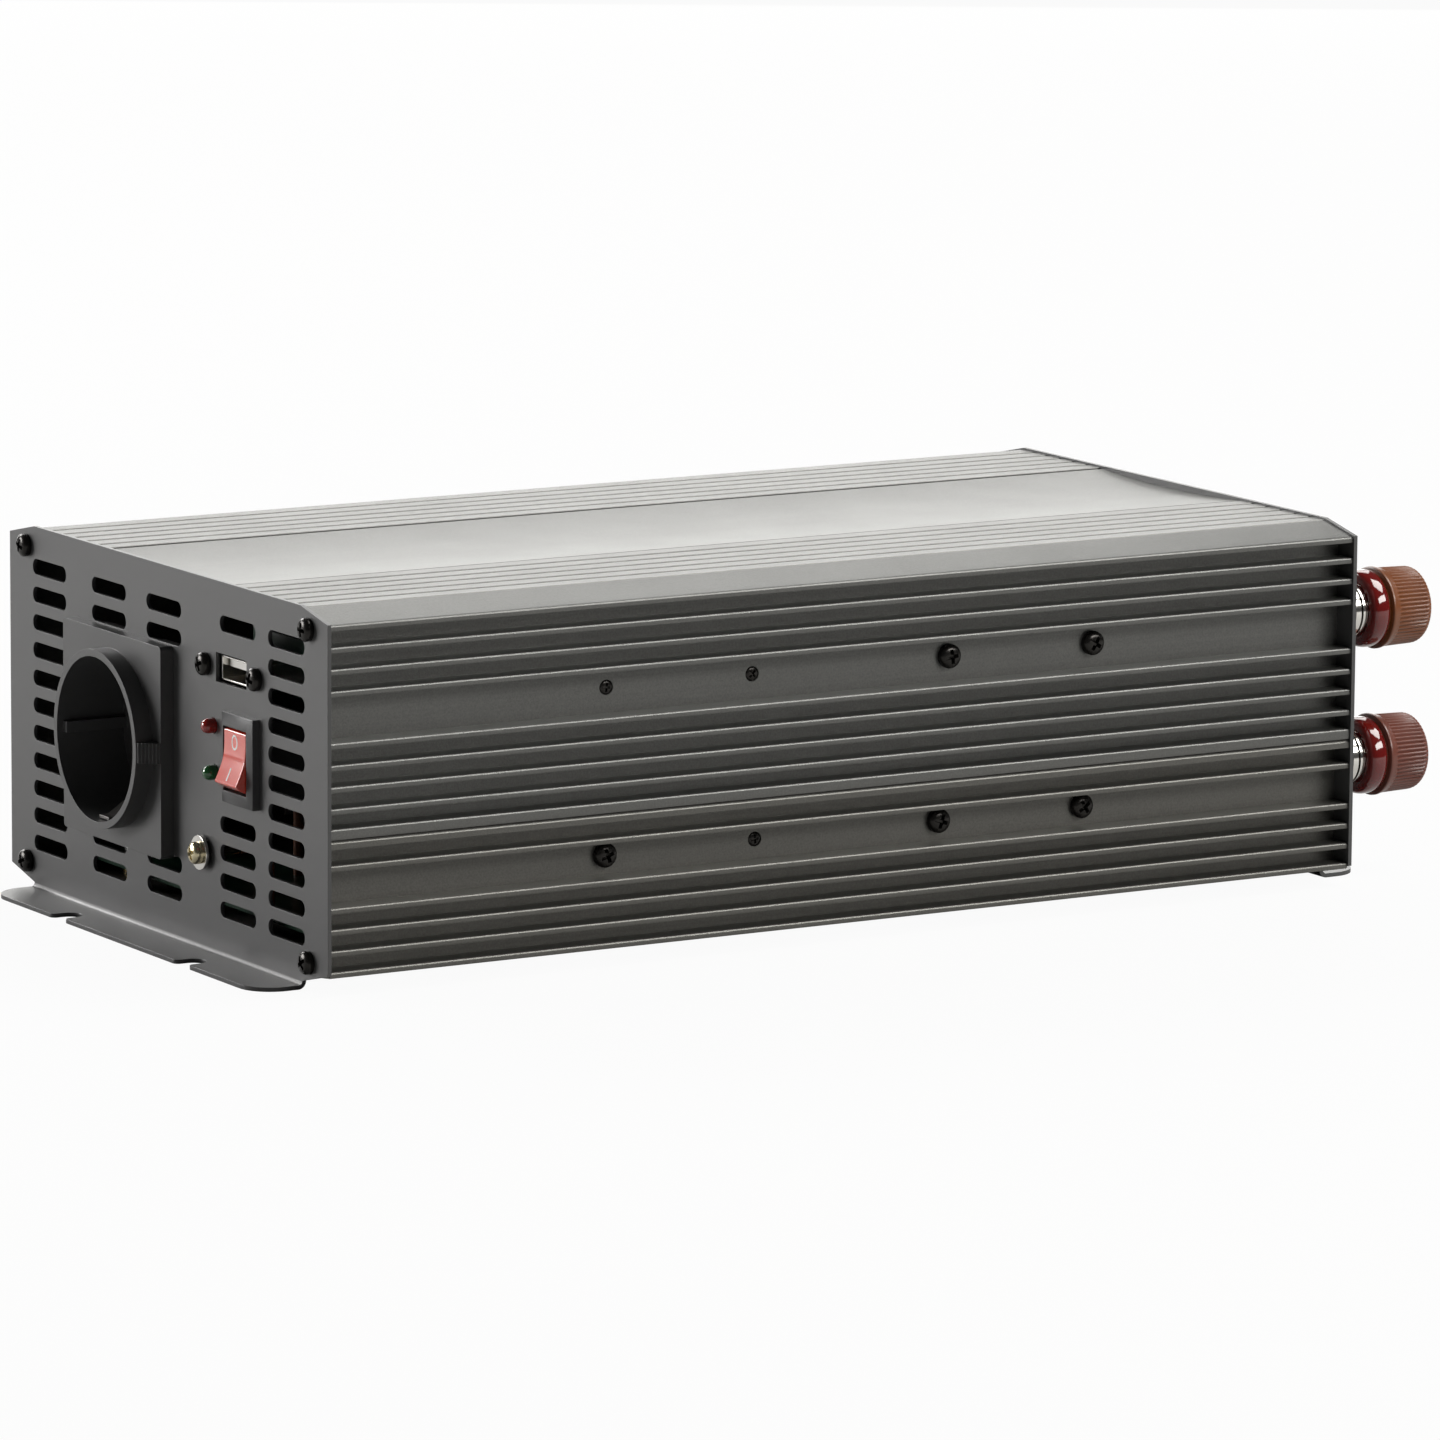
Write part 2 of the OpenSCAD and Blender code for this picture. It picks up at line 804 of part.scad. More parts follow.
module board_standoffs() color([0.75, 0.65, 0.4]) {
  for (p = stand_sites)
    translate([p[0], p[1], floor_z])
      difference() {
        cylinder(r = 3, h = board_z - floor_z);
        translate([0, 0, -1]) cylinder(r = tap_r, h = 9);
      }
  for (y = [93, 187])
    translate([0, yf + y, ch_top_z]) {
      rod_x(2.5, 58.6, bar_in);
      rod_x(1, 56.3, 58.7);
      rod_x(1.5, 56.2, 57);
    }
}

module board_screws() color([0.7, 0.7, 0.68]) {
  for (p = stand_sites)
    translate([p[0], p[1], 0]) {
      translate([0, 0, deck]) cylinder(r = head_r, h = head_h);
      translate([0, 0, floor_z + 0.4]) cylinder(r = tap_r - run_fit, h = deck - floor_z);
    }
}

transformers = [[-22, -40], [-22, 25]];

module transformer_cores() color([0.16, 0.16, 0.17]) {
  for (p = transformers)
    translate([p[0], p[1], deck])
      difference() {
        box(-22, 22, -9, 9, 0, 42);
        for (x = [-1, 1])
          translate([x * 10.75, 0, 0]) box(-4.75, 4.75, -10, 10, 8, 34);
      }
}

module transformer_windings() color([0.75, 0.6, 0.2]) {
  for (p = transformers)
    translate([p[0], p[1], deck + 8])
      linear_extrude(26)
        difference() {
          rounded(29, 34, 6);
          square([12.3, 18.3], center = true);
        }
}

module dc_capacitors() color([0.12, 0.14, 0.2]) {
  for (x = [2, 20, 38], y = [62, 82])
    translate([x, y, deck]) cylinder(r = 8, h = 28);
}

module bus_capacitors() color([0.1, 0.1, 0.12]) {
  for (y = [-62, -28])
    translate([28, y, deck]) cylinder(r = 15, h = 40);
}

module choke_core() color([0.85, 0.75, 0.2]) {
  translate([30, 18, deck + 1])
    difference() {
      cylinder(r = 14.2, h = 10.4);
      translate([0, 0, -1]) cylinder(r = 8.8, h = 13);
    }
}

module choke_winding() color([0.7, 0.38, 0.18]) {
  translate([30, 18, deck])
    for (a = [0:20:340])
      rotate([0, 0, a])
        difference() {
          box(7.7, 15.3, -0.75, 0.75, 0, 12.4);
          box(8.6, 14.4, -1, 1, 0.9, 11.5);
        }
}

module blade_fuses() color([0.85, 0.45, 0.1]) {
  for (y = [62, 72, 82, 92])
    translate([-48, y, deck]) box(-9.5, 9.5, -2.5, 2.5, 0, 14);
}

module buzzer() color([0.08, 0.08, 0.08]) {
  translate([50, -100, deck])
    difference() {
      cylinder(r = 6, h = 9);
      translate([0, 0, 7]) cylinder(r = 1, h = 3);
    }
}

module bus_straps() color([0.75, 0.4, 0.22]) {
  difference() {
    union() {
      box(32, 70, yr - 9.5, yr - 8, post_top_z - 6, post_top_z + 6);
      box(32, 44, yr - 9.5, yr - 8, deck, post_top_z + 6);
    }
    at(post_x, post_top_z) rod_y(post_r + 0.1, yr - 12, yr);
  }
  box(32, 44, yr - 24, yr - 8.5, deck, deck + 1.5);
  difference() {
    box(post_x - 6, post_x + 6, yr - 9.5, yr - 8, deck, post_low_z + 6);
    at(post_x, post_low_z) rod_y(post_r + 0.1, yr - 12, yr);
  }
  box(post_x - 6, post_x + 6, yr - 24, yr - 8.5, deck, deck + 1.5);
}

// ---- fan ----

module fan_frame() color([0.1, 0.1, 0.1]) {
  at(fan_x, fan_z)
    difference() {
      union() {
        bar_y(fan_y, yo)
          difference() {
            rounded(fan_size, fan_size, 4);
            circle(duct_r);
          }
        rod_y(15, yo - 4, yo);
        bar_y(yo - 3, yo)
          for (a = [90, 210, 330])
            rotate(a) translate([13, -1.5]) square([duct_r - 12, 3]);
      }
      for (x = [-1, 1], z = [-1, 1])
        at(x * fan_hole, z * fan_hole) rod_y(2.2, fan_y - 1, yo + 1);
      rod_y(1.5 + run_fit, yo - 5, yo - 1.5);
    }
}

module fan_rotor() color([0.14, 0.14, 0.14]) {
  at(fan_x, fan_z) {
    difference() {
      rod_y(15, fan_y + 2, yo - 4.7);
      rod_y(13.2, fan_y + 4, yo);
    }
    rod_y(1.5, fan_y + 3, yo - 1.7);
    for (i = [0:blades - 1])
      rotate([0, i * 360 / blades, 0])
        translate([14.2, (fan_y + yo) / 2 - 1.2, 0])
          rotate([35, 0, 0])
            box(0, duct_r - 15.4, -8, 8, -0.7, 0.7);
  }
}

module fan_screws() color([0.75, 0.75, 0.73]) {
  for (x = [-1, 1], z = [-1, 1])
    at(fan_x + x * fan_hole, fan_z + z * fan_hole) {
      rod_y(3.5, yr + 1.6, yr + 4);
      rod_y(1.95, fan_y - 4, yr + 1.7);
      hex_y(4, fan_y - 3.2, fan_y);
    }
}

module fan_guard() color([0.8, 0.8, 0.8]) {
  at(fan_x, fan_z)
    translate([0, yr + 0.8, 0])
      rotate([-90, 0, 0]) {
        for (r = [8, 15, 22, 29])
          rotate_extrude() translate([r, 0]) circle(0.8);
        for (a = [45, 135])
          rotate([0, 0, a])
            difference() {
              translate([-32.5, 0, 0]) rotate([0, 90, 0]) cylinder(r = 0.8, h = 65);
              translate([-8, 0, 0]) rotate([0, 90, 0]) cylinder(r = 2, h = 16);
            }
        for (a = [45, 135, 225, 315])
          rotate([0, 0, a])
            translate([fan_hole * sqrt(2), 0, 0])
              difference() {
                rotate_extrude() translate([3, 0]) circle(0.8);
                translate([0, 0, -2]) cylinder(r = 2.1, h = 4);
              }
      }
}

// ---- battery posts ----

module terminal_bushes() color([0.08, 0.08, 0.085]) {
  for (z = post_z)
    at(post_x, z) {
      difference() {
        union() {
          rod_y(9, yr, yr + 3);
          rod_y(6.4, yo, yr + 0.1);
        }
        rod_y(post_r + 0.1, yo - 1, yr + 4);
      }
      difference() {
        rod_y(9, yo - 3, yo);
        rod_y(post_r + 0.1, yo - 4, yo + 1);
      }
    }
}

module terminal_studs() color([0.8, 0.7, 0.45]) {
  for (z = post_z)
    at(post_x, z) rod_y(post_r, yr - 16, yr + 22);
}

module terminal_nuts() color([0.85, 0.85, 0.83]) {
  for (z = post_z)
    at(post_x, z)
      for (s = [[3, 8, 6.5], [-8, -4, 7], [-13.5, -9.5, 7]])
        difference() {
          hex_y(s[2], yr + s[0], yr + s[1]);
          rod_y(post_r + 0.1, yr + s[0] - 1, yr + s[1] + 1);
        }
  for (z = post_z)
    at(post_x, z)
      difference() {
        rod_y(6.6, yr + 8, yr + 9.6);
        rod_y(post_r + 0.1, yr + 7, yr + 11);
      }
}

module cap_insert() {
  difference() {
    union() {
      rod_y(ring_r, yr + ring_from, yr + cap_from - 0.3);
      rod_y(5.5, yr + ring_from + 0.5, yr + 24);
    }
    rod_y(post_r + run_fit, yr + ring_from - 1, yr + 25);
  }
}

module cap_shell() {
  difference() {
    union() {
      translate([0, yr, 0])
        rotate([-90, 0, 0])
          rotate_extrude()
            polygon([
              [0, cap_from], [7.4, cap_from], [8.6, cap_from + 0.4], [9.2, cap_from + 1.2],
              [9.4, cap_from + 2.4], [9.4, cap_from + 4.4], [8.9, cap_from + 4.8],
              [8.9, cap_from + 5.2], [cap_collar_r, cap_from + 5.6],
              [cap_collar_r, cap_from + 6.2], [cap_r + 0.15, cap_from + 7], [cap_r + 0.15, cap_from + 7.6],
              [0, cap_from + 7.6]
            ]);
      bar_y(yr + cap_from + 7, yr + post_reach)
        polygon([
          for (i = [0:2 * cap_ribs - 1])
            let (r = i % 2 == 0 ? cap_r : cap_r - 0.45, a = i * 180 / cap_ribs)
              [r * cos(a), r * sin(a)]
        ]);
    }
    rod_y(5.5 + run_fit, yr + cap_from - 1, yr + 24.5);
  }
}

module upper_insert() color([0.86, 0.86, 0.84]) {
  at(post_x, post_top_z) cap_insert();
}

module upper_cap() color([0.6, 0.25, 0.12]) {
  at(post_x, post_top_z) cap_shell();
}

module lower_insert() color([0.86, 0.86, 0.84]) {
  at(post_x, post_low_z) cap_insert();
}

module lower_cap() color([0.5, 0.14, 0.1]) {
  at(post_x, post_low_z) cap_shell();
}

upper_shell();
lower_shell();
front_panel();
rear_panel();
front_screws();
rear_screws();
side_screws_pan();
side_screws_flush();
side_nuts();
insulator_pads();
transistor_bodies();
transistor_tabs();
heat_bars();
rectifier_board();
control_board();
control_chips();
socket_frame();
socket_clamp();
socket_contacts();
earth_clips();
ac_leads();
usb_shell();
usb_tongue();
usb_contacts();
front_board();
usb_spacers();
usb_screws();
led_red();
led_green();
led_leads();
rocker_housing();
rocker();
rocker_tabs();
ground_screw();
ground_washer();
ground_nuts();
main_board();
board_standoffs();
board_screws();
transformer_cores();
transformer_windings();
dc_capacitors();
bus_capacitors();
choke_core();
choke_winding();
blade_fuses();
buzzer();
bus_straps();
fan_frame();
fan_rotor();
fan_screws();
fan_guard();
terminal_bushes();
terminal_studs();
terminal_nuts();
upper_insert();
upper_cap();
lower_insert();
lower_cap();
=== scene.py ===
import json
import math
import bmesh
import bpy
from mathutils import Matrix, Vector


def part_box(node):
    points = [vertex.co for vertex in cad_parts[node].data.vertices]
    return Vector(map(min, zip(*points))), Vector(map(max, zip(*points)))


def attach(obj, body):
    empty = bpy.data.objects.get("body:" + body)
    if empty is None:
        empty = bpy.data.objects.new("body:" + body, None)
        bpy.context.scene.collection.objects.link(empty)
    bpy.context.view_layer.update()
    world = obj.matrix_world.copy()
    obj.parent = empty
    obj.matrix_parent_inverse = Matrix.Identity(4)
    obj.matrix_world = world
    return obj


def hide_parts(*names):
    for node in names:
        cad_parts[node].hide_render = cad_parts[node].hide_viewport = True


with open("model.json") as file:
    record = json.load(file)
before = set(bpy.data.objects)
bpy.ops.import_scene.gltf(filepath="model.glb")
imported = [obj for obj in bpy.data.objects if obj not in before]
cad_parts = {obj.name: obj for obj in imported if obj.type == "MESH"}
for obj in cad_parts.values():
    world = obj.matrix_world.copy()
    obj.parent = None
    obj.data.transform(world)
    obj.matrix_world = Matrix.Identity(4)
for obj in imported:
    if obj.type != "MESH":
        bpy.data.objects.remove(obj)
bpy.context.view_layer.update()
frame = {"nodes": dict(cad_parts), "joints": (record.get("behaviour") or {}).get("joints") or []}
nodes = frame["nodes"]
scene = bpy.context.scene
mm = 0.001
print("frame loaded:", len(nodes), "CAD nodes")

# angles in degrees, lengths in metres, lens in mm
viewing = {
    "azimuth": 59.224,
    "elevation": 9.848,
    "roll": 0.383,
    "distance": 2.1395,
    "lens": 229.47,
    "aim": (0.05872, -0.03326, 0.05108),
}


def makeCamera():
    around, above, lean = (math.radians(viewing[k]) for k in ("azimuth", "elevation", "roll"))
    back = Vector((math.sin(around) * math.cos(above), -math.cos(around) * math.cos(above), math.sin(above)))
    right = Vector((math.cos(around), math.sin(around), 0))
    up = back.cross(right)
    side = right * math.cos(lean) + up * math.sin(lean)
    top = up * math.cos(lean) - right * math.sin(lean)
    turn = Matrix((side, top, back)).transposed().to_4x4()
    data = bpy.data.cameras.new("studioCamera")
    data.lens = viewing["lens"]
    data.sensor_width = 36
    data.clip_start, data.clip_end = 0.05, 20
    cam = bpy.data.objects.new("studioCamera", data)
    cam.matrix_world = Matrix.Translation(Vector(viewing["aim"]) + back * viewing["distance"]) @ turn
    scene.collection.objects.link(cam)
    scene.camera = cam


makeCamera()

studio = {
    "floorColor": (0.42, 0.42, 0.416),
    "floorGlow": 0.95,
    "airForEye": 1.0,
    "airForLight": 0.05,
    "lights": [
        # name, place, aim, width, height, watts, tint
        ("keySoftbox", (-1.6, -1.75, 0.6), (0, -0.15, 0.05), 1.0, 0.8, 34, (1.0, 0.99, 0.98)),
        ("leftSoftbox", (-1.7, -0.35, 1.0), (0, -0.1, 0.05), 1.0, 0.8, 22, (1.0, 0.99, 0.98)),
        ("backSoftbox", (-1.9, 1.13, 0.3), (0, 0, 0.08), 3.2, 0.66, 18, (1.0, 0.995, 0.97)),
        ("cornerSoftbox", (-1.3, 0.75, 1.05), (0, 0.05, 0.08), 0.9, 0.7, 5, (1.0, 0.995, 0.97)),
        ("stripSoftbox", (0.35, 0.78, 1.33), (0.06, 0.05, 0.06), 0.8, 0.9, 18, (1.0, 0.99, 0.96)),
        ("rightSoftbox", (1.5, 0.9, 0.95), (0.07, 0, 0.05), 1.4, 0.5, 22, (1.0, 0.99, 0.96)),
    ],
}


def lightFloorForEye(mat):
    # the floor shows nearly white, but doesn't flood the case with light
    tree = mat.node_tree
    shader = tree.nodes["Principled BSDF"]
    out = next(n for n in tree.nodes if n.type == "OUTPUT_MATERIAL")
    path = tree.nodes.new("ShaderNodeLightPath")
    glow = tree.nodes.new("ShaderNodeEmission")
    glow.inputs["Color"].default_value = (1, 1, 1, 1)
    shown = tree.nodes.new("ShaderNodeMixShader")
    seen = tree.nodes.new("ShaderNodeMath")
    seen.operation = "MULTIPLY"
    seen.inputs[1].default_value = studio["floorGlow"]
    tree.links.new(path.outputs["Is Camera Ray"], seen.inputs[0])
    tree.links.new(seen.outputs[0], shown.inputs["Fac"])
    tree.links.new(shader.outputs[0], shown.inputs[1])
    tree.links.new(glow.outputs[0], shown.inputs[2])
    tree.links.new(shown.outputs[0], out.inputs["Surface"])


def makeStudio():
    scene.view_settings.view_transform = "Standard"
    world = bpy.data.worlds.new("studioAir")
    world.use_nodes = True
    tree = world.node_tree
    tree.nodes.clear()
    out = tree.nodes.new("ShaderNodeOutputWorld")
    mix = tree.nodes.new("ShaderNodeMixShader")
    path = tree.nodes.new("ShaderNodeLightPath")
    eye = tree.nodes.new("ShaderNodeBackground")
    eye.inputs["Color"].default_value = (1, 1, 1, 1)
    eye.inputs["Strength"].default_value = studio["airForEye"]
    light = tree.nodes.new("ShaderNodeBackground")
    light.inputs["Color"].default_value = (1, 1, 1, 1)
    light.inputs["Strength"].default_value = studio["airForLight"]
    tree.links.new(path.outputs["Is Camera Ray"], mix.inputs["Fac"])
    tree.links.new(light.outputs[0], mix.inputs[1])
    tree.links.new(eye.outputs[0], mix.inputs[2])
    tree.links.new(mix.outputs[0], out.inputs["Surface"])
    scene.world = world
    for name, place, aim, width, height, watts, tint in studio["lights"]:
        data = bpy.data.lights.new(name, "AREA")
        data.shape = "RECTANGLE"
        data.size, data.size_y = width, height
        data.energy = watts
        data.color = tint
        lamp = bpy.data.objects.new(name, data)
        lamp.location = place
        lamp.rotation_euler = (Vector(aim) - Vector(place)).to_track_quat("-Z", "Y").to_euler()
        lamp.visible_camera = False
        scene.collection.objects.link(lamp)
    bm = bmesh.new()
    bmesh.ops.create_grid(bm, x_segments=2, y_segments=2, size=30)
    floor = newPiece("studioFloor", bm)
    pale = makeMaterial("paleFloor", studio["floorColor"], rough=0.7, drift=0.01, driftSize=40)
    lightFloorForEye(pale)
    floor.data.materials.append(pale)


def newGroup(name, ins, outs):
    group = bpy.data.node_groups.new(name, "ShaderNodeTree")
    for label, kind, value in ins:
        socket = group.interface.new_socket(name=label, in_out="INPUT", socket_type=kind)
        socket.default_value = value
    for label, kind in outs:
        group.interface.new_socket(name=label, in_out="OUTPUT", socket_type=kind)
    return group, group.nodes.new("NodeGroupInput"), group.nodes.new("NodeGroupOutput")


def mathNode(tree, kind, first, second=None):
    node = tree.nodes.new("ShaderNodeMath")
    node.operation = kind
    for socket, value in zip(node.inputs, (first, second)):
        if value is None:
            continue
        if isinstance(value, (int, float)):
            socket.default_value = value
        else:
            tree.links.new(value, socket)
    return node.outputs[0]


def noiseNode(tree, vector, scale, detail=2.0, rough=0.5):
    node = tree.nodes.new("ShaderNodeTexNoise")
    node.inputs["Detail"].default_value = detail
    node.inputs["Roughness"].default_value = rough
    tree.links.new(vector, node.inputs["Vector"])
    if isinstance(scale, (int, float)):
        node.inputs["Scale"].default_value = scale
    else:
        tree.links.new(scale, node.inputs["Scale"])
    return node.outputs["Fac"]


surfaceLook = {"contrast": 4.0, "smudgeScale": 55.0, "dieStretch": (1400, 3, 1400), "dieContrast": 2.0}


def buildSurfaceGroup():
    # colour that drifts slowly, a fine grain and bright specks, for any worked surface
    group, given, result = newGroup(
        "workedSurface",
        [
            ("Color", "NodeSocketColor", (0.5, 0.5, 0.5, 1)),
            ("Drift", "NodeSocketFloat", 0.05),
            ("Drift Scale", "NodeSocketFloat", 30.0),
            ("Grain", "NodeSocketFloat", 0.1),
            ("Grain Scale", "NodeSocketFloat", 2500.0),
            ("Roughness", "NodeSocketFloat", 0.4),
            ("Smudge", "NodeSocketFloat", 0.05),
        ],
        [("Color", "NodeSocketColor"), ("Roughness", "NodeSocketFloat"), ("Height", "NodeSocketFloat")],
    )
    where = group.nodes.new("ShaderNodeTexCoord").outputs["Object"]
    slow = noiseNode(group, where, given.outputs["Drift Scale"], 3)
    fine = noiseNode(group, where, given.outputs["Grain Scale"], 2, 0.7)
    slowPart = mathNode(group, "MULTIPLY", mathNode(group, "SUBTRACT", slow, 0.5), given.outputs["Drift"])
    finePart = mathNode(group, "MULTIPLY", mathNode(group, "SUBTRACT", fine, 0.5), given.outputs["Grain"])
    change = mathNode(group, "MULTIPLY", mathNode(group, "ADD", slowPart, finePart), surfaceLook["contrast"])
    shade = mathNode(group, "ADD", 1.0, change)
    tint = group.nodes.new("ShaderNodeVectorMath")
    tint.operation = "SCALE"
    group.links.new(given.outputs["Color"], tint.inputs[0])
    group.links.new(shade, tint.inputs["Scale"])
    group.links.new(tint.outputs[0], result.inputs["Color"])
    patches = noiseNode(group, where, surfaceLook["smudgeScale"], 4)
    smudge = mathNode(group, "MULTIPLY", mathNode(group, "SUBTRACT", patches, 0.5), given.outputs["Smudge"])
    group.links.new(mathNode(group, "ADD", given.outputs["Roughness"], smudge), result.inputs["Roughness"])
    group.links.new(fine, result.inputs["Height"])
    return group


def buildDieLineGroup():
    # faint lines left along Y by the extrusion die
    group, given, result = newGroup(
        "dieLines",
        [
            ("Color", "NodeSocketColor", (0.5, 0.5, 0.5, 1)),
            ("Strength", "NodeSocketFloat", 0.1),
            ("Height", "NodeSocketFloat", 0.0),
        ],
        [("Color", "NodeSocketColor"), ("Height", "NodeSocketFloat")],
    )
    where = group.nodes.new("ShaderNodeTexCoord").outputs["Object"]
    stretch = group.nodes.new("ShaderNodeMapping")
    stretch.inputs["Scale"].default_value = surfaceLook["dieStretch"]
    group.links.new(where, stretch.inputs["Vector"])
    lines = noiseNode(group, stretch.outputs[0], 1.0, 3, 0.6)
    offset = mathNode(group, "MULTIPLY", mathNode(group, "SUBTRACT", lines, 0.5), given.outputs["Strength"])
    tint = group.nodes.new("ShaderNodeVectorMath")
    tint.operation = "SCALE"
    group.links.new(given.outputs["Color"], tint.inputs[0])
    change = mathNode(group, "MULTIPLY", offset, surfaceLook["dieContrast"])
    group.links.new(mathNode(group, "ADD", 1.0, change), tint.inputs["Scale"])
    group.links.new(tint.outputs[0], result.inputs["Color"])
    group.links.new(mathNode(group, "ADD", given.outputs["Height"], offset), result.inputs["Height"])
    return group


surfaceGroup = buildSurfaceGroup()
dieLineGroup = buildDieLineGroup()


def makeMaterial(
    name, color, rough=0.4, metal=0.0, drift=0.04, driftSize=30, grain=0.03, grainSize=2500, bump=0.0,
    smudge=0.06, dieLines=0.0, coat=0.0, coatRough=0.1, coatIor=1.5, clear=0.0,
):
    mat = bpy.data.materials.new(name)
    mat.use_nodes = True
    tree = mat.node_tree
    shader = tree.nodes["Principled BSDF"]
    look = tree.nodes.new("ShaderNodeGroup")
    look.node_tree = surfaceGroup
    look.inputs["Color"].default_value = (*color, 1)
    look.inputs["Drift"].default_value = drift
    look.inputs["Drift Scale"].default_value = driftSize
    look.inputs["Grain"].default_value = grain
    look.inputs["Grain Scale"].default_value = grainSize
    look.inputs["Roughness"].default_value = rough
    look.inputs["Smudge"].default_value = smudge
    colorOut, heightOut = look.outputs["Color"], look.outputs["Height"]
    if dieLines:
        drawn = tree.nodes.new("ShaderNodeGroup")
        drawn.node_tree = dieLineGroup
        drawn.inputs["Strength"].default_value = dieLines
        tree.links.new(colorOut, drawn.inputs["Color"])
        tree.links.new(heightOut, drawn.inputs["Height"])
        colorOut, heightOut = drawn.outputs["Color"], drawn.outputs["Height"]
    tree.links.new(colorOut, shader.inputs["Base Color"])
    tree.links.new(look.outputs["Roughness"], shader.inputs["Roughness"])
    shader.inputs["Metallic"].default_value = metal
    shader.inputs["Coat Weight"].default_value = coat
    shader.inputs["Coat Roughness"].default_value = coatRough
    shader.inputs["Coat IOR"].default_value = coatIor
    shader.inputs["Transmission Weight"].default_value = clear
    if bump:
        relief = tree.nodes.new("ShaderNodeBump")
        relief.inputs["Strength"].default_value = bump
        relief.inputs["Distance"].default_value = 0.0001
        tree.links.new(heightOut, relief.inputs["Height"])
        tree.links.new(relief.outputs["Normal"], shader.inputs["Normal"])
    return mat


def newPiece(name, bm):
    mesh = bpy.data.meshes.new(name)
    bm.normal_update()
    bm.to_mesh(mesh)
    bm.free()
    piece = bpy.data.objects.new(name, mesh)
    scene.collection.objects.link(piece)
    return piece


def smoothByAngle(piece, degrees=30):
    for face in piece.data.polygons:
        face.use_smooth = True
    bm = bmesh.new()
    bm.from_mesh(piece.data)
    for edge in bm.edges:
        if len(edge.link_faces) == 2:
            edge.smooth = edge.calc_face_angle(0) < math.radians(degrees)
    bm.to_mesh(piece.data)
    bm.free()


edgeLook = {
    "weldGap": 0.002,  # mm, joins the corners that neighbouring CAD faces share
    "flatWithin": math.radians(0.4),
    "roundAbove": math.radians(35),
    "segments": 2,
}


def addBevel(piece, width):
    weld = piece.modifiers.new("joinedFaces", "WELD")
    weld.merge_threshold = edgeLook["weldGap"] * mm
    flat = piece.modifiers.new("wholeFaces", "DECIMATE")
    flat.decimate_type = "DISSOLVE"
    flat.angle_limit = edgeLook["flatWithin"]
    bevel = piece.modifiers.new("softEdges", "BEVEL")
    bevel.width = width
    bevel.segments = edgeLook["segments"]
    bevel.limit_method = "ANGLE"
    bevel.angle_limit = edgeLook["roundAbove"]
    bevel.miter_outer = "MITER_ARC"
    piece.modifiers.new("evenShading", "WEIGHTED_NORMAL")


def solidsOf(node):
    # lowest and highest corner of every separate solid in a CAD node
    mesh = nodes[node].data
    group = list(range(len(mesh.vertices)))

    def root(i):
        while group[i] != i:
            group[i] = group[group[i]]
            i = group[i]
        return i

    keyed = {}
    for v in mesh.vertices:
        key = tuple(round(c, 6) for c in v.co)
        if key in keyed:
            group[root(v.index)] = root(keyed[key])
        else:
            keyed[key] = v.index
    for face in mesh.polygons:
        first = root(face.vertices[0])
        for i in face.vertices[1:]:
            group[root(i)] = first
    found = {}
    for v in mesh.vertices:
        low, high = found.setdefault(root(v.index), (Vector((9, 9, 9)), Vector((-9, -9, -9))))
        for k in range(3):
            low[k] = min(low[k], v.co[k])
            high[k] = max(high[k], v.co[k])
    return sorted(found.values(), key=lambda b: (round(b[0].x, 4), round(b[0].y, 4), round(b[0].z, 4)))


def joinRings(bm, one, two, steps):
    # faces between two rings, where a ring of one point is a tip
    faces = []
    for i in range(steps):
        j = (i + 1) % steps
        corners = [one[i % len(one)], one[j % len(one)], two[j % len(two)], two[i % len(two)]]
        faces.append(bm.faces.new(dict.fromkeys(corners)))
    return faces


def turned(bm, profile, steps, place):
    # a lathe-turned shape: profile is (radius, height) from the axis out and back
    rings = []
    for radius, height in profile:
        count = steps if radius > 1e-7 else 1
        turns = [2 * math.pi * i / steps for i in range(count)]
        points = [Vector((radius * math.cos(a), radius * math.sin(a), height)) for a in turns]
        rings.append([bm.verts.new(place @ point) for point in points])
    for one, two in zip(rings, rings[1:]):
        joinRings(bm, one, two, steps)


def facing(direction, at, spin=0.0):
    # a frame whose Z axis points along direction, placed at a point
    turn = Vector((0, 0, 1)).rotation_difference(Vector(direction)).to_matrix().to_4x4()
    return Matrix.Translation(at) @ turn @ Matrix.Rotation(spin, 4, "Z")


def take(piece, body, *replaced, finish=None, degrees=30):
    smoothByAngle(piece, degrees)
    if finish:
        piece.data.materials.append(finish)
    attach(piece, body)
    if replaced:
        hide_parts(*replaced)
    return piece


makeStudio()
print("camera, light and floor made")

